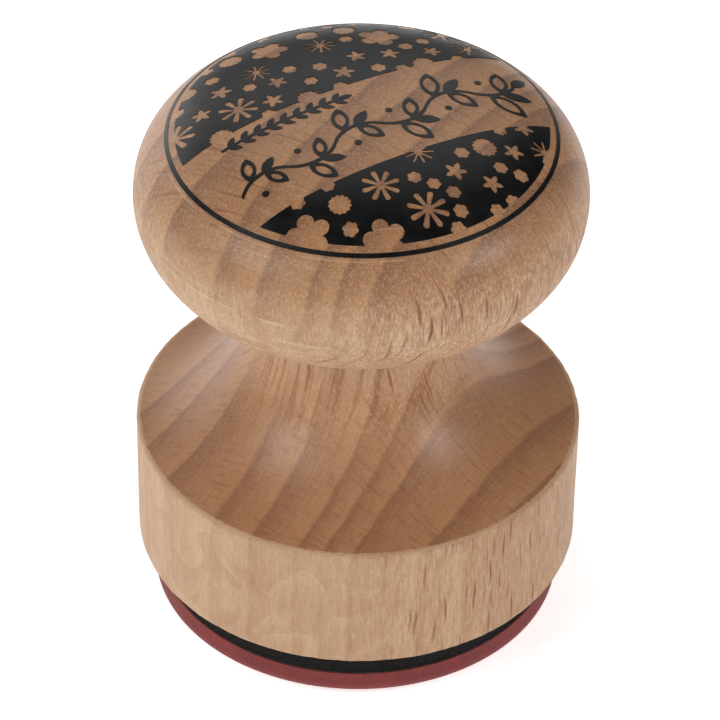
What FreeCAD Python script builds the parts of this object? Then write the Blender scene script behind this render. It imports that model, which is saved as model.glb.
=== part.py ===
import FreeCAD, Part
import math
import os
import random

os.makedirs("parts", exist_ok=True)

V = FreeCAD.Vector
UP = V(0, 0, 1)
ORIGIN = V(0, 0, 0)

# Driving dimensions, mm. The stamp stands on its printing face: z = 0 is the face of
# the raised artwork, +Z runs up the handle, and the artwork is seen upright from above.

RELIEF = 1.0                # height of the raised artwork under the web
WEB_TOP = 2.9               # top of the rubber sheet
DIE_RADIUS = 21.5           # sheet radius at the foam
DIE_FOOT_RADIUS = 21.8      # the knife cut leans outwards, so the lower edge is wider
FILM = 0.1                  # each adhesive film
FOAM_RADIUS = 21.4
FOAM_BOTTOM = WEB_TOP + FILM
FOAM_THICKNESS = 3.4
WOOD_BOTTOM = FOAM_BOTTOM + FOAM_THICKNESS + FILM

BASE_RADIUS = 23.5
BASE_EDGE_ROUND = 0.3
RIM_ROUND = 0.82            # round between the wall and the shoulder
RIM_CENTRE_Z = 20.44
SHOULDER_SLOPE = math.radians(14.3)
NECK_RADIUS = 10.1
NECK_Z = 35.4
UNDERSIDE = (12.84, 38.89)  # where the knob's underside turns into the neck
UNDERSIDE_SLOPE = math.radians(20)
KNOB_RADIUS = 23.3
KNOB_Z = 50.3               # height of the knob's widest place
HEIGHT = 61.1

# How far each curve of the profile keeps to its direction at its two ends.
SHOULDER_REACH = 8.0
NECK_LOWER_REACH = 5.4
NECK_UPPER_REACH = 1.62
THROAT_REACH = 1.5
UNDERSIDE_REACH = 6.1
KNOB_LOWER_REACH = 5.4
KNOB_UPPER_REACH = 7.6
CROWN_REACH = 15.2

INK = 0.06                  # thickness of the printed ink
RING_RADIUS = 20.0          # outer radius of the printed border
RING_WIDTH = 0.38
PANEL_RADIUS = 18.95
BAND_TURN = 31.0            # degrees from +X to the diagonal band between the two panels
BAND_UPPER = 3.7            # offsets of the band's edges from the centre
BAND_LOWER = -8.8
LINE = 0.42                 # width of the vine's stem
FINE_LINE = 0.34            # width of the small sprig's stem and of the open leaves' outline
VINE_OFFSET = -3.6          # vine and sprig, measured like the band's edges
VINE_TILT = 4.5
SPRIG_OFFSET = 1.9
BRIDGE = 0.32               # least width of ink between two flowers
BACK_SEED = 1               # each seed strews one panel's flowers
FRONT_SEED = 12
LEAST_PATCH = 0.06          # mm2; smaller crumbs of ink between flowers are left out


def polar(radius, turn):
    return V(radius * math.cos(turn), radius * math.sin(turn), 0)


def arc(start, middle, end):
    return Part.Arc(start, middle, end).toShape()


def bezier(poles):
    curve = Part.BezierCurve()
    curve.setPoles([V(r, 0, z) for r, z in poles])
    return curve


def face_of(edges):
    return Part.Face(Part.Wire(edges))


def spin(edges):
    return face_of(edges).revolve(ORIGIN, UP, 360)


def disc(radius, bottom, top, foot_radius=None):
    if foot_radius is None:
        return Part.makeCylinder(radius, top - bottom, V(0, 0, bottom))
    return Part.makeCone(foot_radius, radius, top - bottom, V(0, 0, bottom))


# The turned handle, one profile spun about Z.

CROWN = [(0, HEIGHT), (CROWN_REACH, HEIGHT), (KNOB_RADIUS, KNOB_Z + KNOB_UPPER_REACH),
         (KNOB_RADIUS, KNOB_Z)]


def wooden_handle():
    rim_start = (BASE_RADIUS - RIM_ROUND * (1 - math.sin(SHOULDER_SLOPE)),
                 RIM_CENTRE_Z + RIM_ROUND * math.cos(SHOULDER_SLOPE))
    half = (SHOULDER_SLOPE + math.pi / 2) / 2
    rim_middle = V(BASE_RADIUS - RIM_ROUND * (1 - math.sin(half)), 0,
                   RIM_CENTRE_Z + RIM_ROUND * math.cos(half))
    neck = (NECK_RADIUS, NECK_Z)
    shoulder = bezier([
        rim_start,
        (rim_start[0] - SHOULDER_REACH * math.cos(SHOULDER_SLOPE),
         rim_start[1] + SHOULDER_REACH * math.sin(SHOULDER_SLOPE)),
        (NECK_RADIUS, NECK_Z - NECK_LOWER_REACH),
        neck])
    run = math.cos(UNDERSIDE_SLOPE)
    rise = math.sin(UNDERSIDE_SLOPE)
    throat = bezier([
        neck,
        (NECK_RADIUS, NECK_Z + NECK_UPPER_REACH),
        (UNDERSIDE[0] - THROAT_REACH * run, UNDERSIDE[1] - THROAT_REACH * rise),
        UNDERSIDE])
    underside = bezier([
        UNDERSIDE,
        (UNDERSIDE[0] + UNDERSIDE_REACH * run, UNDERSIDE[1] + UNDERSIDE_REACH * rise),
        (KNOB_RADIUS, KNOB_Z - KNOB_LOWER_REACH),
        (KNOB_RADIUS, KNOB_Z)])
    corner = BASE_EDGE_ROUND * (1 - math.sqrt(0.5))
    bottom_edge = V(BASE_RADIUS - BASE_EDGE_ROUND, 0, WOOD_BOTTOM)
    wall_foot = V(BASE_RADIUS, 0, WOOD_BOTTOM + BASE_EDGE_ROUND)
    wall_top = V(BASE_RADIUS, 0, RIM_CENTRE_Z)
    return spin([
        Part.makeLine(V(0, 0, WOOD_BOTTOM), bottom_edge),
        arc(bottom_edge, V(BASE_RADIUS - corner, 0, WOOD_BOTTOM + corner), wall_foot),
        Part.makeLine(wall_foot, wall_top),
        arc(wall_top, rim_middle, V(rim_start[0], 0, rim_start[1])),
        shoulder.toShape(),
        throat.toShape(),
        underside.toShape(),
        bezier(CROWN).toShape(),
        Part.makeLine(V(0, 0, HEIGHT), V(0, 0, WOOD_BOTTOM))])


# The printed skin: a band of ink that follows the crown between two radii.

def crown_parameter(radius):
    low, high = 0.0, 1.0
    curve = bezier(CROWN)
    for _ in range(50):
        middle = (low + high) / 2
        if curve.value(middle).x < radius:
            low = middle
        else:
            high = middle
    return low


def crown_skin(inner, outer):
    lower = bezier(CROWN)
    lower.segment(crown_parameter(inner), crown_parameter(outer))
    lower = lower.toShape()
    lift = V(0, 0, INK)
    upper = lower.translated(lift)
    first, last = [vertex.Point for vertex in lower.Vertexes]
    return spin([lower, Part.makeLine(last, last + lift), upper,
                 Part.makeLine(first + lift, first)])


# The flowers knocked out of the panels.

def blossom(radius, petals, valley):
    """Round petals: a bulging arc between each two valleys."""
    step = math.pi / petals
    edges = []
    for k in range(petals):
        start = polar(radius * valley, (2 * k - 1) * step)
        end = polar(radius * valley, (2 * k + 1) * step)
        edges.append(arc(start, polar(radius, 2 * k * step), end))
    return face_of(edges)


def star(radius, petals, valley):
    """Pointed petals with slightly bowed sides."""
    step = math.pi / petals
    edges = []
    for k in range(petals):
        start = polar(radius * valley, (2 * k - 1) * step)
        tip = polar(radius, 2 * k * step)
        end = polar(radius * valley, (2 * k + 1) * step)
        bow = radius * (0.57 + 0.5 * valley)
        edges.append(arc(start, polar(bow, (2 * k - 0.40) * step), tip))
        edges.append(arc(tip, polar(bow, (2 * k + 0.40) * step), end))
    return face_of(edges)


def daisy(radius, petals, width):
    """Club-shaped petals, widest near the tip."""
    step = math.pi / petals
    half = width * radius / 2
    shoulder = radius - half
    valley = 0.24 * radius
    edges = []
    for k in range(petals):
        turn = 2 * k * step
        across = polar(half, turn + math.pi / 2)
        start = polar(valley, turn - step)
        end = polar(valley, turn + step)
        right = polar(shoulder, turn) - across
        left = polar(shoulder, turn) + across
        edges.append(Part.makeLine(start, right))
        edges.append(arc(right, polar(radius, turn), left))
        edges.append(Part.makeLine(left, end))
    return face_of(edges)


FLOWERS = {
    "peony": (2.15, lambda r: blossom(r, 5, 0.62)),
    "daisy": (2.1, lambda r: daisy(r, 8, 0.30)),
    "sparkle": (1.6, lambda r: daisy(r, 9, 0.15)),
    "aster": (1.25, lambda r: blossom(r, 13, 0.84)),
    "star": (1.2, lambda r: star(r, 5, 0.42)),
    "button": (0.8, lambda r: blossom(r, 6, 0.80)),
}
BIG = ["peony", "daisy"]
MEDIUM = ["aster", "star", "sparkle", "aster", "star"]
SMALL = ["button", "star", "button"]


def band_distance(x, y):
    """Distance above the line through the centre that runs along the band."""
    turn = math.radians(BAND_TURN)
    return y * math.cos(turn) - x * math.sin(turn)


def edge_distances(x, y, side):
    edge = BAND_UPPER if side > 0 else BAND_LOWER
    return side * (band_distance(x, y) - edge), PANEL_RADIUS - math.hypot(x, y)


def fits(kinds, radius, from_band, from_rim):
    """Flowers lie inside the panel or are cut by its edge; the band cuts only the smaller ones."""
    whole = radius + BRIDGE
    least = -0.1 * radius
    most = 0.4 * radius
    if from_band > whole:
        return from_rim > whole or least < from_rim < most
    return kinds is not BIG and from_rim > whole and least < from_band < most


def scatter(side, seed):
    """Flowers strewn over one panel, big ones first and then ever smaller ones."""
    rng = random.Random(seed)
    flowers = []
    for kinds, tries in ((BIG, 50), (MEDIUM, 260), (SMALL, 2500)):
        for attempt in range(tries):
            kind = kinds[attempt % len(kinds)]
            radius = FLOWERS[kind][0] * rng.uniform(0.93, 1.05)
            x = rng.uniform(-PANEL_RADIUS, PANEL_RADIUS)
            y = rng.uniform(-PANEL_RADIUS, PANEL_RADIUS)
            turn = rng.uniform(0, 360)
            apart = all(math.hypot(x - other[1], y - other[2]) > radius + other[3] + BRIDGE
                        for other in flowers)
            if apart and fits(kinds, radius, *edge_distances(x, y, side)):
                flowers.append((kind, x, y, radius, turn))
    return flowers


def flower_faces(side, seed):
    faces = []
    for kind, x, y, radius, turn in scatter(side, seed):
        face = FLOWERS[kind][1](radius)
        face.rotate(ORIGIN, UP, turn)
        face.translate(V(x, y, 0))
        faces.append(face)
    return faces


def panel(side, seed):
    """A circular segment beside the band, with its flowers left out."""
    turn = math.radians(BAND_TURN)
    edge = BAND_UPPER if side > 0 else BAND_LOWER
    half = math.sqrt(PANEL_RADIUS ** 2 - edge ** 2)
    along = V(math.cos(turn), math.sin(turn), 0)
    normal = V(-math.sin(turn), math.cos(turn), 0)
    start = normal * edge - along * half
    end = normal * edge + along * half
    outline = face_of([Part.makeLine(start, end),
                       arc(end, normal * (side * PANEL_RADIUS), start)])
    cut = outline.cut(Part.makeCompound(flower_faces(side, seed)))
    return [face for face in cut.Faces if face.Area > LEAST_PATCH]


# The vine and the small sprig along the band.

def wavy_stem(width, reach, rise, bows):
    """A ribbon along X made of alternating arcs, with blunt ends."""
    step = 2 * reach / bows
    edges = []
    for lift in (width / 2, -width / 2):
        for k in range(bows):
            x = -reach + k * step
            bow = rise if k % 2 == 0 else -rise
            edges.append(arc(V(x, lift, 0), V(x + step / 2, bow + lift, 0),
                             V(x + step, lift, 0)))
    for x in (-reach, reach):
        edges.append(Part.makeLine(V(x, -width / 2, 0), V(x, width / 2, 0)))
    return face_of(Part.__sortEdges__(edges))


def leaf(length, width):
    """A pointed leaf from the origin along +X."""
    tip = V(length, 0, 0)
    return face_of([arc(ORIGIN, V(0.45 * length, width / 2, 0), tip),
                    arc(tip, V(0.45 * length, -width / 2, 0), ORIGIN)])


def open_leaf(length, width):
    """A leaf drawn as an outline."""
    inner = leaf(length - 4.2 * FINE_LINE, width - 2 * FINE_LINE)
    inner.translate(V(2.1 * FINE_LINE, 0, 0))
    return leaf(length, width).cut(inner).Faces[0]


def placed(face, x, y, turn):
    face.rotate(ORIGIN, UP, turn)
    face.translate(V(x, y, 0))
    return face


def joined(faces):
    return faces[0].fuse(faces[1:]).removeSplitter().Faces


def vine():
    reach = 16.6
    bows = 6
    rise = 1.1
    step = 2 * reach / bows
    pieces = [wavy_stem(LINE, reach, rise, bows)]
    berries = []
    for k in range(bows):
        side = 1 if k % 2 == 0 else -1
        x = -reach + (k + 0.5) * step
        size = 0.8 + 0.06 * k
        pieces.append(placed(open_leaf(4.0 * size, 1.9 * size), x - 1.1, side * rise * 0.9,
                             side * 66))
        pieces.append(placed(leaf(2.9 * size, 1.25 * size), x + 0.3, side * rise, side * 30))
        pieces.append(placed(open_leaf(3.5 * size, 1.7 * size), x + 0.5, side * rise * 0.9,
                             -side * 64))
        berries.append(face_of([Part.makeCircle(0.36, V(x - 0.9, -side * 1.3, 0))]))
    pieces.append(placed(leaf(2.6, 1.2), reach - 0.3, 0, 24))
    return joined(pieces) + berries


def small_sprig():
    length = 13.5
    pairs = 9
    ends = [(-length / 2, -FINE_LINE / 2), (-length / 2, FINE_LINE / 2),
            (length / 2, FINE_LINE / 2), (length / 2, -FINE_LINE / 2)]
    corners = [V(x, y, 0) for x, y in ends + ends[:1]]
    pieces = [face_of([Part.makePolygon(corners)])]
    for k in range(pairs):
        x = -length / 2 + (k + 0.5) * length / pairs
        for side in (1, -1):
            pieces.append(placed(leaf(1.55, 0.62), x, 0, side * 40))
    pieces.append(placed(leaf(1.7, 0.7), length / 2 - 0.2, 0, 0))
    return joined(pieces)


def band_artwork():
    climbing = Part.makeCompound(vine())
    climbing.rotate(ORIGIN, UP, VINE_TILT)
    climbing.translate(V(0, VINE_OFFSET, 0))
    sprig = Part.makeCompound(small_sprig())
    sprig.translate(V(-8.4, SPRIG_OFFSET, 0))
    drawing = Part.makeCompound([climbing, sprig])
    drawing.rotate(ORIGIN, UP, BAND_TURN)
    return drawing.Faces


def ring_face():
    outer = face_of([Part.makeCircle(RING_RADIUS)])
    inner = face_of([Part.makeCircle(RING_RADIUS - RING_WIDTH)])
    return outer.cut(inner).Faces[0]


def printed(faces):
    """The ink where the artwork's faces, raised, meet the crown's skin."""
    skin = crown_skin(0, RING_RADIUS + 0.4)
    block = Part.makeCompound([face.translated(V(0, 0, KNOB_Z)) for face in faces])
    return skin.common(block.extrude(V(0, 0, HEIGHT)))


def rubber_die(faces):
    web = disc(DIE_RADIUS, RELIEF, WEB_TOP, DIE_FOOT_RADIUS)
    raised = [face.extrude(V(0, 0, RELIEF)) for face in faces]
    return web.fuse(raised)


artwork = {
    "ink_flower_panel_back": panel(1, BACK_SEED),
    "ink_flower_panel_front": panel(-1, FRONT_SEED),
    "ink_vine": band_artwork(),
}
all_faces = [ring_face()]
for faces in artwork.values():
    all_faces += faces

nodes = {
    "wooden_handle": wooden_handle(),
    "ink_border_ring": crown_skin(RING_RADIUS - RING_WIDTH, RING_RADIUS),
    "upper_adhesive_film": disc(FOAM_RADIUS, WOOD_BOTTOM - FILM, WOOD_BOTTOM),
    "foam_cushion": disc(FOAM_RADIUS, FOAM_BOTTOM, FOAM_BOTTOM + FOAM_THICKNESS),
    "lower_adhesive_film": disc(FOAM_RADIUS, WEB_TOP, FOAM_BOTTOM),
    "rubber_die": rubber_die(all_faces),
}
for name, faces in artwork.items():
    nodes[name] = printed(faces)

for name, shape in nodes.items():
    shape.exportStep("parts/" + name + ".step")
    print(name, len(shape.Solids), "solids", len(shape.Faces), "faces",
          round(shape.Volume, 3), "mm3", "valid" if shape.isValid() else "INVALID")
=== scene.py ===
"""The looks of a round rubber stamp: a turned beech handle with a printed crown, foam and a die."""
import math

import bpy
from mathutils import Matrix, Vector, noise


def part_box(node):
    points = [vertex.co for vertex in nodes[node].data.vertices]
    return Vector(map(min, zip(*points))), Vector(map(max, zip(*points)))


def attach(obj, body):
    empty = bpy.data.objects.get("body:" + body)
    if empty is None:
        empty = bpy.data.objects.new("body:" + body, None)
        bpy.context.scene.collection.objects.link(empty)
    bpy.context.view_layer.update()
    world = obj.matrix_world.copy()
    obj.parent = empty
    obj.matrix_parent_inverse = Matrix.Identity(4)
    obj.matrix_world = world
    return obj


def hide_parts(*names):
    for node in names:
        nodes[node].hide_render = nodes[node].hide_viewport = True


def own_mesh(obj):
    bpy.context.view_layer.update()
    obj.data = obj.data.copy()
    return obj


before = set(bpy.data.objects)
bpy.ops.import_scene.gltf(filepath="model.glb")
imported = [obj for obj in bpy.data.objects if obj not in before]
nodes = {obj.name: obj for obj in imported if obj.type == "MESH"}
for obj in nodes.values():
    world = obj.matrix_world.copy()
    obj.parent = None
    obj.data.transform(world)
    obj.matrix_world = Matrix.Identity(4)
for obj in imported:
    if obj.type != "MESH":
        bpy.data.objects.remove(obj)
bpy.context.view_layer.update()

MM = 0.001
UP = Vector((0, 0, 1))


def linear(red, green, blue):
    """A colour given as 0 to 255 display values."""
    return tuple((value / 255) ** 2.2 for value in (red, green, blue))


# Node graphs

class Graph:
    """A material's node tree, with a short call for each kind of node used here."""

    def __init__(self, name):
        self.material = bpy.data.materials.new(name)
        self.material.use_nodes = True
        self.tree = self.material.node_tree
        self.tree.nodes.clear()
        self.shader = self.add("ShaderNodeBsdfPrincipled")
        output = self.add("ShaderNodeOutputMaterial")
        self.tree.links.new(self.shader.outputs[0], output.inputs["Surface"])
        coordinates = self.add("ShaderNodeTexCoord")
        self.normal = coordinates.outputs["Normal"]
        self.place = self.vector("SCALE", coordinates.outputs["Object"], scale=1000)    # in mm

    def add(self, kind, **settings):
        node = self.tree.nodes.new(kind)
        for name, value in settings.items():
            setattr(node, name, value)
        return node

    def plug(self, socket, value):
        """Links a socket to another node's output, or sets it to a number or colour."""
        if isinstance(value, bpy.types.NodeSocket):
            self.tree.links.new(value, socket)
        elif isinstance(value, tuple) and len(value) == 3 and len(socket.default_value) == 4:
            socket.default_value = (*value, 1)
        else:
            socket.default_value = value

    def math(self, operation, *values):
        node = self.add("ShaderNodeMath", operation=operation)
        for socket, value in zip(node.inputs, values):
            self.plug(socket, value)
        return node.outputs[0]

    def times(self, first, *others):
        for other in others:
            first = self.math("MULTIPLY", first, other)
        return first

    def plus(self, first, *others):
        for other in others:
            first = self.math("ADD", first, other)
        return first

    def scaled(self, value, factor, offset):
        """Value times factor, plus offset."""
        return self.math("MULTIPLY_ADD", value, factor, offset)

    def centred(self, value, width):
        """A noise value of 0 to 1, made to lie evenly about 0 in a range of that width."""
        return self.scaled(value, width, -width / 2)

    def vector(self, operation, *values, scale=None):
        node = self.add("ShaderNodeVectorMath", operation=operation)
        for socket, value in zip(node.inputs, values):
            self.plug(socket, value)
        if scale is not None:
            node.inputs["Scale"].default_value = scale
        return node.outputs["Value" if operation in ("DOT_PRODUCT", "LENGTH") else "Vector"]

    def dot(self, direction):
        """How far a point lies in a direction, in mm from the stamp's axis or foot."""
        return self.vector("DOT_PRODUCT", self.place, tuple(direction))

    def combine(self, x, y, z):
        node = self.add("ShaderNodeCombineXYZ")
        for socket, value in zip(node.inputs, (x, y, z)):
            self.plug(socket, value)
        return node.outputs[0]

    def noise(self, vector, scale=1.0, detail=2.0, roughness=0.5):
        node = self.add("ShaderNodeTexNoise")
        self.plug(node.inputs["Vector"], vector)
        for name, value in (("Scale", scale), ("Detail", detail), ("Roughness", roughness)):
            node.inputs[name].default_value = value
        return node.outputs["Fac"]

    def cells(self, vector, scale):
        """The distance from the nearest cell's middle, and a chance number for each cell."""
        node = self.add("ShaderNodeTexVoronoi")
        self.plug(node.inputs["Vector"], vector)
        node.inputs["Scale"].default_value = scale
        chance = self.add("ShaderNodeSeparateColor")
        self.plug(chance.inputs[0], node.outputs["Color"])
        return node.outputs["Distance"], chance.outputs[0]

    def step(self, value, low, high, to_low=0.0, to_high=1.0):
        """Runs smoothly from to_low, where value is low, to to_high, where value is high."""
        node = self.add("ShaderNodeMapRange", interpolation_type="SMOOTHSTEP")
        for socket, number in zip(node.inputs, (value, low, high, to_low, to_high)):
            self.plug(socket, number)
        return node.outputs[0]

    def blend(self, mask, at_none, at_full):
        """A number that changes smoothly with a mask of 0 to 1."""
        return self.step(mask, 0.0, 1.0, at_none, at_full)

    def outside(self, mask):
        """The mask of everything that the given one leaves out."""
        return self.step(mask, 1.0, 0.0)

    def ramp(self, value, stops):
        """Grey levels at places from 0 to 1, joined by straight lines."""
        node = self.add("ShaderNodeValToRGB")
        elements = node.color_ramp.elements
        elements[0].position, elements[1].position = stops[0][0], stops[-1][0]
        elements[0].color = (*[stops[0][1]] * 3, 1)
        elements[1].color = (*[stops[-1][1]] * 3, 1)
        for position, level in stops[1:-1]:
            elements.new(position).color = (level, level, level, 1)
        self.plug(node.inputs["Fac"], value)
        return node.outputs["Color"]

    def mix(self, factor, first, second):
        node = self.add("ShaderNodeMix", data_type="RGBA")
        self.plug(node.inputs["Factor"], factor)
        self.plug(node.inputs[6], first)
        self.plug(node.inputs[7], second)
        return node.outputs[2]

    def bump(self, height, distance):
        """Height is in units of distance, which is in millimetres."""
        node = self.add("ShaderNodeBump")
        self.plug(node.inputs["Height"], height)
        node.inputs["Strength"].default_value = 1.0
        node.inputs["Distance"].default_value = distance * MM
        self.plug(self.shader.inputs["Normal"], node.outputs[0])

    def set(self, **values):
        for name, value in values.items():
            self.plug(self.shader.inputs[name.replace("_", " ").title().replace("Ior", "IOR")], value)
        return self.material


# Beech

# Directions in the wood, seen from above: ACROSS points through the annual rings, ALONG runs
# with them. The grain itself is vertical.
RING_TURN = math.radians(-33)
ACROSS = Vector((math.cos(RING_TURN), math.sin(RING_TURN), 0))
ALONG = Vector((-math.sin(RING_TURN), math.cos(RING_TURN), 0))
RING_EDGES = (-19.5, -14.8, -9.5, -2.9, 1.6, 6.5, 9.1, 11.8, 17.8, 22.0)   # mm from the axis
RING_SPAN = 26.0            # the rings are drawn this far on either side of the axis
EDGE_RISE = (-0.22, 0.16)   # a ring's dark edge comes up over this stretch
RING_FADE = 0.4             # and has faded to its later level at this share of the ring's width
FAN_REACH = 10.0            # the rings spread like a fan over this stretch left of the axis
FAN_SLOPE = 0.22
FAN_FOOT = 16.0             # how far in front of the axis the fan starts

RUBBED_SIDE = Vector((-0.8, -0.6, 0))
KNOB_FROM = 38.0            # heights where the wood's look changes from the base's to the knob's
KNOB_TO = 46.0
WALL_FROM = 23.00           # radii where the shoulder's end grain gives way to the wall's wood
WALL_TO = 23.10
WAIST_FROM = 15.5           # radii where the shoulder's wood gives way to the neck's
WAIST_TO = 11.5

SIDE_PALE = linear(204, 170, 136)
SIDE_DEEP = linear(185, 146, 111)
SIDE_ARCHES = linear(150, 104, 70)
SIDE_RINGS = linear(168, 122, 90)
SIDE_FLAT_CUT = linear(172, 125, 90)
# Painted highlight: the rounded rim is painted paler, a thin bright line along the edge.
RIM_PAINTED_HIGHLIGHT = linear(216, 180, 146)
# The neck's colour: partly its paler wood, partly a painted highlight.
WAIST_PALE_AND_HIGHLIGHT = linear(216, 168, 124)
WAIST_STRANDS = linear(142, 88, 54)
# The shoulder's end grain is painted darker than the crown's: painted shade under the knob, and
# painted light on the crown, on the same wood.
SHOULDER_END_SHADED = linear(183, 134, 96)
CROWN_END_LIT = linear(197, 142, 96)
END_RINGS = linear(131, 87, 66)
END_HATCH = linear(104, 64, 44)
END_PORES = linear(212, 172, 134)
BLOTCHES = linear(158, 108, 72)
FIBRE_PALE = linear(230, 198, 164)
FIBRE_DARK = linear(146, 94, 62)
SPECK_PALE = linear(224, 186, 146)
SPECK_DARK = linear(138, 88, 56)
RAYS_BASE = linear(140, 82, 54)
RAYS_KNOB = linear(128, 74, 50)
TURNING_MARKS = linear(232, 204, 174)


def ring_place(graph):
    """Where a point lies among the annual rings: mm across them, with their wander and fan."""
    across = graph.dot(ACROSS)
    fan = graph.times(graph.step(across, 0.0, -FAN_REACH, 0.0, FAN_SLOPE),
                      graph.plus(graph.dot(ALONG), FAN_FOOT))
    wander = graph.noise(graph.place, 0.05)
    ripple = graph.noise(graph.place, 0.30)
    ring = graph.math("SUBTRACT", across, fan)
    ring = graph.plus(ring, graph.centred(wander, 1.4), graph.centred(ripple, 0.5))
    return graph.scaled(graph.dot(UP), -0.02, ring)


def late_wood(graph, ring):
    """Each ring starts with a dark edge and fades over its width."""
    before, after = EDGE_RISE
    stops = [(0.0, 0.2)]
    for edge, following in zip(RING_EDGES, RING_EDGES[1:] + (RING_SPAN,)):
        faded = edge + RING_FADE * (following - edge)
        for place, level in ((edge + before, 0.0), (edge + after, 1.0), (faded, 0.45)):
            stops.append(((place + RING_SPAN) / (2 * RING_SPAN), level))
    return graph.ramp(graph.scaled(ring, 0.5 / RING_SPAN, 0.5), stops)


def ray_flecks(graph):
    """The short dark flecks of the rays: thin upright sheets that stand across the rings."""
    bend = graph.scaled(graph.noise(graph.place, 0.22), 0.7, graph.dot(ALONG))
    sheets = graph.combine(graph.times(bend, 2.3), graph.times(graph.dot(ACROSS), 0.10),
                           graph.times(graph.dot(UP), 0.17))
    distance, chance = graph.cells(sheets, 1.0)
    return graph.times(graph.step(distance, 0.44, 0.14), graph.step(chance, 0.20, 0.95))


def fibres(graph):
    return graph.noise(graph.vector("MULTIPLY", graph.place, (5.0, 5.0, 0.6)), 1.0, 3.0, 0.65)


def growth_layers(graph, ring):
    """Long streaks that follow the rings down the handle."""
    layers = graph.combine(graph.times(ring, 1.3), graph.times(graph.dot(ALONG), 0.14),
                           graph.times(graph.dot(UP), 0.06))
    return graph.noise(layers, 1.0, 3.0, 0.6)


def cross_lines(graph, along, across, low, high):
    """Fine lines on end grain; along and across are their density per mm in both directions."""
    space = graph.combine(graph.times(graph.dot(ALONG), along),
                          graph.times(graph.dot(ACROSS), across), 0.0)
    return graph.step(graph.noise(space, 1.0, 3.0, 0.65), low, high)


def turning_marks(graph, radius):
    """Fine pale arcs that the sanding left on one side of the knob."""
    turned = graph.combine(graph.times(radius, 5.0), graph.times(graph.dot(UP), 5.0),
                           graph.noise(graph.place, 0.09, 1.0))
    lines = graph.step(graph.noise(turned, 1.0, 2.0, 0.6), 0.60, 0.70)
    patches = graph.step(graph.noise(graph.place, 0.20, 1.0), 0.44, 0.58)
    side = graph.step(graph.dot(RUBBED_SIDE), 0.0, 12.0, 0.25, 1.0)
    level = graph.step(graph.dot(UP), 40.0, 48.0, 0.10, 1.0)
    return graph.times(graph.times(lines, patches), graph.times(side, level))


class Zones:
    """Where a point lies on the handle and which way its surface cuts the wood.

    upright is 1 where the surface faces up, and radial is 1 where it lies parallel to the rays.
    radius is in mm, and the others are masks of 0 to 1.
    """

    def __init__(self, graph):
        self.upright = graph.vector("DOT_PRODUCT", graph.normal, tuple(UP))
        self.radial = graph.math("ABSOLUTE", graph.vector("DOT_PRODUCT", graph.normal, tuple(ALONG)))
        self.radius = graph.vector("LENGTH", graph.vector("MULTIPLY", graph.place, (1, 1, 0)))
        self.knob = graph.step(graph.dot(UP), KNOB_FROM, KNOB_TO)
        self.waist = graph.step(self.radius, WAIST_FROM, WAIST_TO)
        frayed = graph.centred(graph.noise(graph.place, 2.2, 3.0, 0.7), 0.5)
        outermost = graph.step(graph.plus(self.radius, frayed), WALL_FROM, WALL_TO)
        self.wall = graph.times(outermost, graph.outside(self.knob))
        facing_up = graph.step(self.upright, graph.blend(self.knob, 0.12, -0.25), 0.84)
        self.end_grain = graph.times(facing_up, graph.outside(self.wall))
        self.flank = graph.times(self.knob, graph.step(self.end_grain, 0.85, 0.35))
        sloping = graph.times(graph.step(self.upright, 0.35, 0.85), graph.outside(self.knob))
        self.upstanding = graph.outside(sloping)
        self.calm = graph.step(self.radial, 0.55, 0.95, 0.0, 0.7)


def side_colour(graph, zones, late, layer):
    """Wood cut along the grain: the wall, the neck and the knob's sides."""
    figured = graph.times(graph.step(layer, 0.30, 0.72), graph.step(zones.calm, 0.0, 0.7, 1.0, 0.4))
    colour = graph.mix(figured, SIDE_PALE, SIDE_DEEP)
    arches = graph.math("FRACT", graph.times(graph.noise(graph.place, 0.08, 1.0), 8.0))
    arches = graph.times(graph.step(arches, 0.96, 0.05), graph.step(zones.calm, 0.1, 0.7, 0.0, 0.20))
    colour = graph.mix(arches, colour, SIDE_ARCHES)
    rings = graph.times(late, graph.step(zones.upright, 0.0, 0.45, 0.34, 0.60))
    colour = graph.mix(rings, colour, SIDE_RINGS)
    colour = graph.mix(graph.step(zones.radial, 0.75, 0.25, 0.0, 0.42), colour, SIDE_FLAT_CUT)
    # Painted highlight: the rim's round is painted paler, a thin bright line along the edge.
    edge = graph.times(graph.step(zones.upright, 0.30, 0.70), zones.wall, 0.60)
    colour = graph.mix(edge, colour, RIM_PAINTED_HIGHLIGHT)
    # The neck is lightened: partly its paler wood, partly a painted highlight.
    colour = graph.mix(graph.times(zones.waist, 0.38), colour, WAIST_PALE_AND_HIGHLIGHT)
    strands = graph.times(zones.waist, graph.step(layer, 0.48, 0.62), 0.68)
    return graph.mix(strands, colour, WAIST_STRANDS)


def end_colour(graph, zones, late, hatch):
    """Wood cut across the grain: the shoulder and the crown."""
    # Painted light and shade: the crown's end grain is painted lighter, and the shoulder's darker as
    # painted shade under the knob.
    colour = graph.mix(zones.knob, SHOULDER_END_SHADED, CROWN_END_LIT)
    colour = graph.mix(graph.times(late, graph.blend(zones.knob, 0.72, 0.86)), colour, END_RINGS)
    colour = graph.mix(graph.times(hatch, 0.31), colour, END_HATCH)
    pores = cross_lines(graph, 0.45, 3.2, 0.48, 0.66)
    return graph.mix(graph.times(pores, 0.16), colour, END_PORES)


def fibre_masks(graph, zones, fibre):
    """How much the pale and the dark fibres show; both are strongest on the knob's flank."""
    pale = graph.times(graph.step(fibre, 0.52, 0.34), graph.blend(zones.calm, 0.30, 0.10),
                       graph.blend(zones.flank, 1.0, 1.8), zones.upstanding)
    dark = graph.times(graph.step(fibre, 0.50, 0.72), graph.blend(zones.calm, 0.34, 0.06),
                       graph.blend(zones.flank, 1.0, 2.0), zones.upstanding)
    return pale, dark


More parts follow.
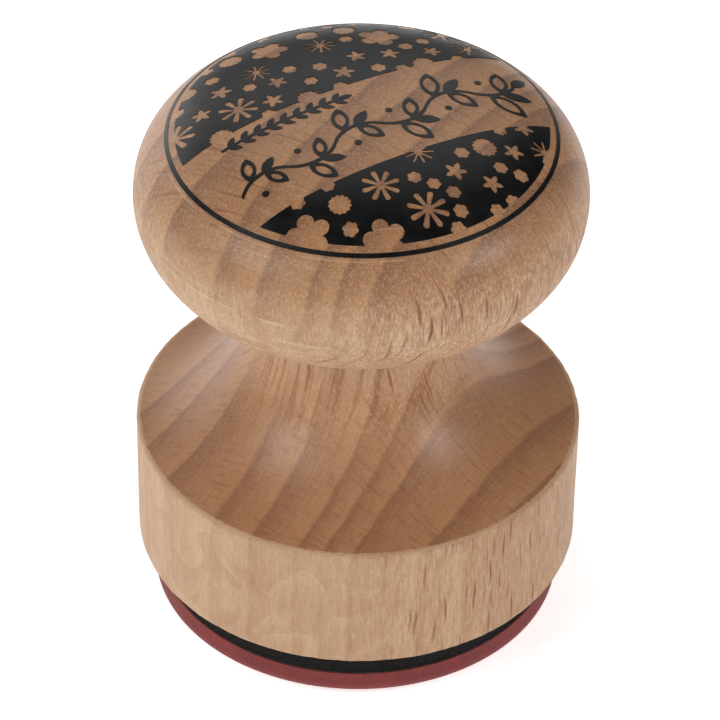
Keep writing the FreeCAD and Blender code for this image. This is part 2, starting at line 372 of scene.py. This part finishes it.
def mottled(graph, zones, mottle, colour):
    """Fine pale and dark specks in the sanded surface, strongest on the knob."""
    strength = graph.times(graph.blend(zones.knob, 0.14, 0.24),
                           graph.step(zones.upright, 0.75, 0.95, 1.0, 0.55))
    pale = graph.times(graph.step(mottle, 0.44, 0.70), strength)
    dark = graph.times(graph.step(mottle, 0.52, 0.36), strength)
    return graph.mix(dark, graph.mix(pale, colour, SPECK_PALE), SPECK_DARK)


def with_rays(graph, zones, rays, colour):
    """The rays show least where the surface is cut across the grain or lies parallel to them."""
    seen = graph.times(graph.blend(zones.end_grain, 0.95, 0.35),
                       graph.step(zones.radial, 0.50, 0.92, 1.0, 0.22),
                       zones.upstanding, graph.blend(zones.knob, 1.0, 1.35))
    return graph.mix(graph.times(rays, seen), colour, graph.mix(zones.knob, RAYS_BASE, RAYS_KNOB))


def beech():
    graph = Graph("beech")
    zones = Zones(graph)
    ring = ring_place(graph)
    late = late_wood(graph, ring)
    layer = growth_layers(graph, ring)
    rays = ray_flecks(graph)
    fibre = fibres(graph)
    hatch = cross_lines(graph, 2.5, 0.38, 0.50, 0.68)
    mottle = graph.noise(graph.place, 3.6, 4.0, 0.75)
    pale, dark = fibre_masks(graph, zones, fibre)

    colour = graph.mix(zones.end_grain, side_colour(graph, zones, late, layer),
                       end_colour(graph, zones, late, hatch))
    blotches = graph.step(graph.noise(graph.place, 0.13, 3.0), 0.35, 0.70, 0.0, 0.20)
    colour = graph.mix(blotches, colour, BLOTCHES)
    colour = graph.mix(pale, colour, FIBRE_PALE)
    colour = graph.mix(dark, colour, FIBRE_DARK)
    colour = mottled(graph, zones, mottle, colour)
    colour = with_rays(graph, zones, rays, colour)
    marks = graph.times(turning_marks(graph, zones.radius), 0.42)
    colour = graph.mix(marks, colour, TURNING_MARKS)

    grooves = graph.plus(graph.times(dark, -0.7), graph.times(rays, -0.5), graph.times(hatch, -0.3))
    graph.bump(graph.plus(grooves, graph.times(mottle, graph.blend(zones.knob, 0.3, 2.2))), 0.022)
    roughness = graph.scaled(fibre, 0.16, graph.blend(zones.end_grain, 0.46, 0.38))
    return graph.set(base_color=colour, roughness=roughness, specular_ior_level=0.3,
                     coat_weight=graph.blend(zones.end_grain, 0.08, 0.34), coat_roughness=0.28)


# The other materials

INK_DARK = (0.0032, 0.0031, 0.0033)
INK_LIGHT = (0.0065, 0.0062, 0.0062)
INK_SPECK = (0.05, 0.038, 0.03)
FOAM_PIT_SHADE = (0.0035, 0.0033, 0.0034)
FOAM_WALL = (0.011, 0.0102, 0.010)
RUBBER_DEEP = linear(115, 43, 42)
RUBBER_LIGHT = linear(132, 54, 51)
RUBBER_GRAIN = linear(158, 92, 88)
RUBBER_RELIEF = linear(166, 104, 100)
RELIEF_FROM = 1.7           # heights where the rubber gets paler towards its raised artwork
RELIEF_TO = 1.0
GLUE_DARK = (0.030, 0.026, 0.024)
GLUE_LIGHT = (0.060, 0.050, 0.044)


def printed_ink():
    graph = Graph("printed_ink")
    cloud = graph.noise(graph.place, 0.7, 3.0)
    speck = graph.noise(graph.place, 6.0, 1.0)
    colour = graph.mix(graph.step(cloud, 0.3, 0.7), INK_DARK, INK_LIGHT)
    colour = graph.mix(graph.step(speck, 0.66, 0.76, 0.0, 0.30), colour, INK_SPECK)
    graph.bump(graph.plus(fibres(graph), graph.times(ray_flecks(graph), -0.4)), 0.012)
    roughness = graph.step(cloud, 0.3, 0.7, 0.34, 0.42)
    return graph.set(base_color=colour, roughness=roughness, specular_ior_level=0.36)


def foam():
    graph = Graph("foam")
    cell, _ = graph.cells(graph.place, 4.5)
    fine = graph.noise(graph.place, 9.0)
    # Painted shade: each open cell is painted darker in its pit, where the bump sinks.
    colour = graph.mix(graph.step(cell, 0.15, 0.6), FOAM_PIT_SHADE, FOAM_WALL)
    graph.bump(graph.plus(cell, graph.times(fine, 0.4)), 0.10)
    roughness = graph.step(fine, 0.3, 0.7, 0.78, 0.95)
    return graph.set(base_color=colour, roughness=roughness, specular_ior_level=0.25)


def red_rubber():
    graph = Graph("red_rubber")
    cloud = graph.noise(graph.place, 0.35, 3.0)
    grain = graph.noise(graph.place, 5.0, 2.0, 0.6)
    cut = graph.noise(graph.vector("MULTIPLY", graph.place, (2.5, 2.5, 0.5)), 1.0, 2.0, 0.6)
    colour = graph.mix(graph.step(cloud, 0.3, 0.7), RUBBER_DEEP, RUBBER_LIGHT)
    colour = graph.mix(graph.step(grain, 0.45, 0.75, 0.0, 0.30), colour, RUBBER_GRAIN)
    relief = graph.step(graph.dot(UP), RELIEF_FROM, RELIEF_TO, 0.0, 0.30)
    colour = graph.mix(relief, colour, RUBBER_RELIEF)
    graph.bump(graph.plus(graph.times(grain, 0.5), cut), 0.03)
    roughness = graph.step(cloud, 0.3, 0.7, 0.58, 0.70)
    return graph.set(base_color=colour, roughness=roughness, specular_ior_level=0.4)


def adhesive():
    graph = Graph("adhesive")
    cloud = graph.noise(graph.place, 1.5)
    colour = graph.mix(graph.step(cloud, 0.3, 0.7), GLUE_DARK, GLUE_LIGHT)
    graph.bump(cloud, 0.02)
    return graph.set(base_color=colour, roughness=graph.step(cloud, 0.3, 0.7, 0.35, 0.5))


# Turned shapes. A profile is a list of (radius, height) in mm, from the lower pole to the upper.

def bezier(poles, count):
    """Points along a cubic curve, without its last one."""
    points = []
    for k in range(count):
        t = k / count
        weights = ((1 - t) ** 3, 3 * t * (1 - t) ** 2, 3 * t * t * (1 - t), t ** 3)
        points.append(tuple(sum(w * pole[axis] for w, pole in zip(weights, poles))
                            for axis in (0, 1)))
    return points


def turned_arc(centre, radius, start, end, count):
    """Points on an arc between two angles in degrees, without the last one."""
    angles = [math.radians(start + (end - start) * k / count) for k in range(count)]
    return [(centre[0] + radius * math.cos(a), centre[1] + radius * math.sin(a)) for a in angles]


def lathe(name, profile, segments, shift):
    """Spins the profile; shift(radius, height, turn) gives each point's real radius and height."""
    vertices = []
    faces = []
    inner = profile[1:-1]
    for radius, height in inner:
        for k in range(segments):
            turn = 2 * math.pi * k / segments
            r, z = shift(radius, height, turn)
            vertices.append((r * math.cos(turn) * MM, r * math.sin(turn) * MM, z * MM))
    for ring in range(len(inner) - 1):
        low = ring * segments
        high = low + segments
        for k in range(segments):
            after = (k + 1) % segments
            faces.append((low + k, low + after, high + after, high + k))
    poles = []
    for radius, height in (profile[0], profile[-1]):
        poles.append(len(vertices))
        vertices.append((0, 0, height * MM))
    last = (len(inner) - 1) * segments
    for k in range(segments):
        after = (k + 1) % segments
        faces.append((after, k, poles[0]))
        faces.append((last + k, last + after, poles[1]))
    mesh = bpy.data.meshes.new(name)
    mesh.from_pydata(vertices, [], faces)
    mesh.polygons.foreach_set("use_smooth", [True] * len(faces))
    mesh.update()
    piece = bpy.data.objects.new(name, mesh)
    bpy.context.scene.collection.objects.link(piece)
    return piece


def wobble(radius, height, turn, scale, seed):
    """Smooth noise between about -1 and 1 on the turned surface, scale in mm."""
    point = Vector((radius * math.cos(turn), radius * math.sin(turn), height + 100 * seed))
    return noise.noise(point / scale)


def near(value, middle, width):
    """1 at the middle, falling smoothly to almost 0 at two widths from it."""
    return math.exp(-((value - middle) / width) ** 2)


# The handle. A reach is how far a curve holds its starting or closing direction.

HANDLE_SEGMENTS = 384
BASE_RADIUS = 23.5
WOOD_BOTTOM = 6.5
BOTTOM_RINGS = (6, 12, 17, 20, 21.6, 22.4, 22.8, 23.05)     # closer together towards the edge
BOTTOM_ROUND = 0.3
WALL_STEPS = 26
RIM_ROUND = 0.35
RIM_Z = 20.90
SHOULDER_SLOPE = math.radians(14.3)
SHOULDER_REACH = 8
NECK = (10.1, 35.4)
NECK_REACH_DOWN = 5.4
NECK_REACH_UP = 1.62
UNDERSIDE = (12.84, 38.89)
UNDERSIDE_SLOPE = math.radians(20)
UNDERSIDE_REACH_IN = 1.5
UNDERSIDE_REACH_OUT = 6.1
KNOB_RADIUS = 23.3
KNOB_Z = 50.3
KNOB_REACH_DOWN = 5.4
KNOB_REACH_UP = 7.6
CROWN_Z = 61.1
CROWN_REACH = 15.2
PRINT_REACH = 20.6          # inside this radius the crown stays exactly under the ink
PRINT_FADE = 1.5            # outside it, the unevenness grows to its full size over this stretch
UNEVEN = 0.035
UNEVEN_SCALE = 9.0
EDGE_RADIUS = 23.4          # the rim and the foot are frayed around this radius
FRAYED_RIM_Z = RIM_Z + 0.2


def along_slope(point, slope, reach):
    """The point that lies a reach further out on a slope, or further in if it is negative."""
    return point[0] + reach * math.cos(slope), point[1] + reach * math.sin(slope)


def handle_profile():
    wall_foot = WOOD_BOTTOM + BOTTOM_ROUND
    wall = RIM_Z - wall_foot
    rim = (BASE_RADIUS - RIM_ROUND * (1 - math.sin(SHOULDER_SLOPE)),
           RIM_Z + RIM_ROUND * math.cos(SHOULDER_SLOPE))
    points = [(0, WOOD_BOTTOM)]
    points += [(r, WOOD_BOTTOM) for r in BOTTOM_RINGS]
    points += turned_arc((BASE_RADIUS - BOTTOM_ROUND, wall_foot), BOTTOM_ROUND, -90, 0, 5)
    points += [(BASE_RADIUS, wall_foot + wall * k / WALL_STEPS) for k in range(WALL_STEPS)]
    points += turned_arc((BASE_RADIUS - RIM_ROUND, RIM_Z), RIM_ROUND, 0,
                         90 - math.degrees(SHOULDER_SLOPE), 7)
    points += bezier([rim, along_slope(rim, -SHOULDER_SLOPE, -SHOULDER_REACH),
                      (NECK[0], NECK[1] - NECK_REACH_DOWN), NECK], 48)
    points += bezier([NECK, (NECK[0], NECK[1] + NECK_REACH_UP),
                      along_slope(UNDERSIDE, UNDERSIDE_SLOPE, -UNDERSIDE_REACH_IN), UNDERSIDE], 10)
    points += bezier([UNDERSIDE, along_slope(UNDERSIDE, UNDERSIDE_SLOPE, UNDERSIDE_REACH_OUT),
                      (KNOB_RADIUS, KNOB_Z - KNOB_REACH_DOWN), (KNOB_RADIUS, KNOB_Z)], 38)
    points += bezier([(KNOB_RADIUS, KNOB_Z), (KNOB_RADIUS, KNOB_Z + KNOB_REACH_UP),
                      (CROWN_REACH, CROWN_Z), (0, CROWN_Z)], 60)
    return points + [(0, CROWN_Z)]


def edge_bite(radius, turn, seed):
    """How far an edge stands out at one place: a fine fray, and here and there a nick."""
    frayed = wobble(radius, 0, turn, 1.1, seed) + 0.6 * wobble(radius, 0, turn, 0.45, seed + 1)
    nick = max(0.0, wobble(radius, 0, turn, 2.3, seed + 2) - 0.45)
    return 0.05 * frayed - 0.35 * nick


def handle_shift(radius, height, turn):
    """Small unevenness of a turned and sanded part, with a few nicks along its two sharp edges."""
    if height > KNOB_Z and radius < PRINT_REACH:
        return radius, height
    fade = 1.0
    if height > KNOB_Z:
        fade = min(1.0, (radius - PRINT_REACH) / PRINT_FADE)
    r = radius + fade * UNEVEN * wobble(radius, height, turn, UNEVEN_SCALE, 1)
    z = height
    rim = near(height, FRAYED_RIM_Z, 0.45) * near(radius, EDGE_RADIUS, 0.45)
    foot = near(height, WOOD_BOTTOM, 0.35) * near(radius, EDGE_RADIUS, 0.5)
    for edge, outward, seed in ((rim, 1, 3), (foot, -1, 5)):
        bite = edge_bite(radius, turn, seed)
        r += edge * bite
        z += edge * outward * bite * 0.5
    if height <= WOOD_BOTTOM:
        z = max(z, WOOD_BOTTOM)
    return r, z


# The foam

FOAM_SEGMENTS = 640
FOAM_STEPS = 26
FOAM_RINGS = (0.3, 0.6, 0.85, 0.95, 0.985)      # shares of the radius, on both flat faces
FOAM_INSET = 0.04
FOAM_WAIST = 0.16           # the side is drawn in this much at mid height
FOAM_PIT = 0.42             # the open cells' size and depth
FOAM_PIT_DEPTH = 0.07


def foam_profile(low, high, radius):
    points = [(0, low)]
    points += [(radius * share, low) for share in FOAM_RINGS]
    points += [(radius, low + (high - low) * k / FOAM_STEPS) for k in range(FOAM_STEPS + 1)]
    points += [(radius * share, high) for share in reversed(FOAM_RINGS)]
    return points + [(0, high)]


def make_foam():
    """A die-cut disc: its side is drawn in a little at mid height and pitted by open cells."""
    low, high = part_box("foam_cushion")
    bottom = low.z / MM
    top = high.z / MM
    radius = high.x / MM

    def shift(r, z, turn):
        if r < radius * 0.999:
            return r, z
        share = (z - bottom) / (top - bottom)
        waist = FOAM_WAIST * math.sin(math.pi * share) ** 0.8
        cut = 0.07 * wobble(r, z, turn, 7.0, 11) + 0.03 * wobble(r, z, turn, 2.0, 12)
        pits = FOAM_PIT_DEPTH * max(0.0, wobble(r, z, turn, FOAM_PIT, 13))
        return r - FOAM_INSET - waist + cut - pits, z

    return lathe("foam_pad", foam_profile(bottom, top, radius), FOAM_SEGMENTS, shift)


# Camera

ELEVATION = math.radians(39.22)
DISTANCE = 444 * MM
AIM = Vector((0.134, 0, 27.95)) * MM
ROLL = 0.016
LENS = 210.9


def make_camera():
    data = bpy.data.cameras.new("camera")
    data.lens = LENS
    data.sensor_width = 36
    data.clip_end = 10
    camera = bpy.data.objects.new("camera", data)
    back = Vector((0, -math.cos(ELEVATION), math.sin(ELEVATION)))
    aim = (-back).to_track_quat("-Z", "Y").to_matrix() @ Matrix.Rotation(ROLL, 3, "Z")
    camera.matrix_world = Matrix.Translation(AIM + back * DISTANCE) @ aim.to_4x4()
    bpy.context.scene.collection.objects.link(camera)
    bpy.context.scene.camera = camera


# Floor and light

FLOOR_HALF = 3.0            # metres
FLOOR_GLOW = 0.66           # the floor is a faintly lit table, so that shadows stay soft
BACKDROP_LIGHT = 1.1        # the white surroundings, up to a little above the horizon
CEILING_LIGHT = 0.28        # they darken to this overhead
BACKDROP_TILT = 0.10        # they rise higher on the left
BACKDROP_FROM = 0.25        # the sine of the elevation where they start to darken
BACKDROP_TO = 0.80

SOFTBOXES = {               # azimuth and elevation in degrees, distance and size in metres, watts
    "softbox_left": (-60, 38, 1.0, 0.50, 4.0),
    "softbox_right": (68, 33, 1.0, 0.33, 3.0),
    "softbox_behind": (-138, 14, 1.0, 0.6, 2.3),
    "softbox_front": (-12, 32, 1.2, 1.1, 1.8),
    "softbox_above": (180, 40, 1.2, 0.9, 2.7),
}


def floor_paper():
    graph = Graph("floor_paper")
    grain = graph.noise(graph.place, 1.2)
    colour = graph.mix(grain, (0.93, 0.93, 0.93), (0.95, 0.95, 0.95))
    roughness = graph.step(grain, 0.3, 0.7, 0.85, 0.95)
    return graph.set(base_color=colour, roughness=roughness, specular_ior_level=0.1,
                     emission_color=(1.0, 1.0, 1.0), emission_strength=FLOOR_GLOW)


def make_floor():
    corners = [(x * FLOOR_HALF, y * FLOOR_HALF, 0) for x, y in ((-1, -1), (1, -1), (1, 1), (-1, 1))]
    mesh = bpy.data.meshes.new("floor")
    mesh.from_pydata(corners, [], [(0, 1, 2, 3)])
    floor = bpy.data.objects.new("floor", mesh)
    mesh.materials.append(floor_paper())
    bpy.context.scene.collection.objects.link(floor)


def softbox(name, azimuth, elevation, distance, size, power):
    """A square area light that faces the stamp; azimuth 0 stands in front, 90 to the right."""
    data = bpy.data.lights.new(name, "AREA")
    data.shape = "SQUARE"
    data.size = size
    data.energy = power
    light = bpy.data.objects.new(name, data)
    turn = math.radians(azimuth)
    rise = math.radians(elevation)
    away = Vector((math.sin(turn) * math.cos(rise), -math.cos(turn) * math.cos(rise),
                   math.sin(rise)))
    light.location = AIM + away * distance
    light.rotation_euler = (-away).to_track_quat("-Z", "Y").to_euler()
    bpy.context.scene.collection.objects.link(light)


def make_backdrop():
    """White surroundings that darken towards the ceiling."""
    world = bpy.data.worlds.new("studio")
    world.use_nodes = True
    tree = world.node_tree
    direction = tree.nodes.new("ShaderNodeTexCoord")
    rise = tree.nodes.new("ShaderNodeVectorMath")
    rise.operation = "DOT_PRODUCT"
    rise.inputs[1].default_value = (BACKDROP_TILT, 0, 1)
    fade = tree.nodes.new("ShaderNodeMapRange")
    fade.interpolation_type = "SMOOTHSTEP"
    numbers = (BACKDROP_FROM, BACKDROP_TO, BACKDROP_LIGHT, CEILING_LIGHT)
    for socket, number in zip(list(fade.inputs)[1:5], numbers):
        socket.default_value = number
    tree.links.new(direction.outputs["Generated"], rise.inputs[0])
    tree.links.new(rise.outputs["Value"], fade.inputs[0])
    tree.links.new(fade.outputs[0], tree.nodes["Background"].inputs["Strength"])
    bpy.context.scene.world = world
    bpy.context.scene.view_settings.view_transform = "Standard"


# The stamp

def dress(node, material):
    slots = nodes[node].data.materials
    slots.clear()
    slots.append(material)


def stand_in(piece, node, body, material):
    """Puts a finished piece in the place of a CAD node."""
    piece.data.materials.append(material)
    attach(piece, body)
    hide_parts(node)


make_camera()
make_floor()
for name, setting in SOFTBOXES.items():
    softbox(name, *setting)
make_backdrop()

handle = lathe("turned_handle", handle_profile(), HANDLE_SEGMENTS, handle_shift)
stand_in(handle, "wooden_handle", "handle", beech())

cushion = make_foam()
stand_in(cushion, "foam_cushion", "die", foam())
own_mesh(cushion)

ink = printed_ink()
for node in ("ink_border_ring", "ink_flower_panel_back", "ink_flower_panel_front", "ink_vine"):
    dress(node, ink)
glue = adhesive()
dress("upper_adhesive_film", glue)
dress("lower_adhesive_film", glue)
dress("rubber_die", red_rubber())
